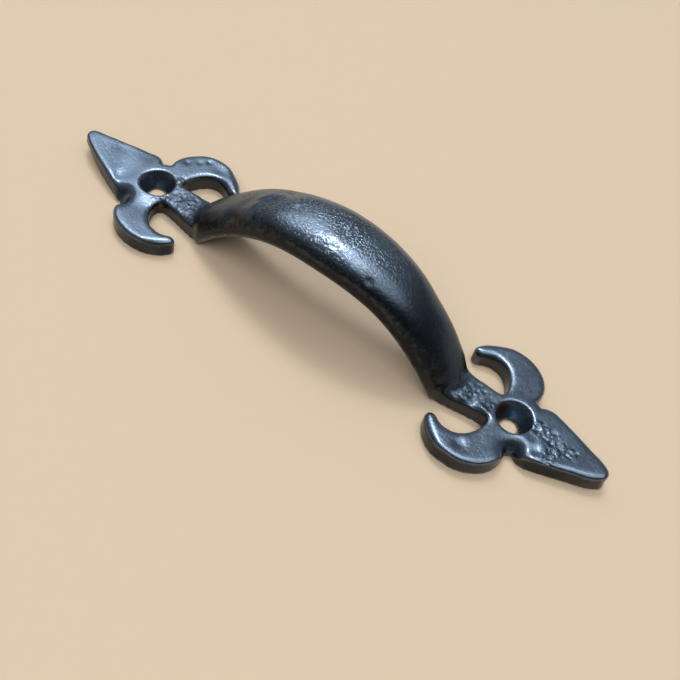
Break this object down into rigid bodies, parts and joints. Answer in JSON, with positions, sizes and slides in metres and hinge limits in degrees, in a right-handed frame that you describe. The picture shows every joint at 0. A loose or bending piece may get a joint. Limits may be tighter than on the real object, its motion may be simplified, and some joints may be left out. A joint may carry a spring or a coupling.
{
  "type": "cabinet pull",
  "caption": "Bowed cast-iron cabinet pull whose wide grip runs between flat fleur-de-lis plates with countersunk screw holes.",
  "frame": {"origin": "midway between the centres of the screw holes, in the plane of the flat back", "axes": "+X along the pull through both screw holes, +Y across it in the plane of the door, +Z out of the door towards the crown of the grip"},
  "size_m": [0.165, 0.0387, 0.0284],
  "materials": {
    "black_iron": "black semi-gloss over a rough casting"
  },
  "bodies": {
    "root": {"pull": "black_iron"}
  },
  "joints": []
}
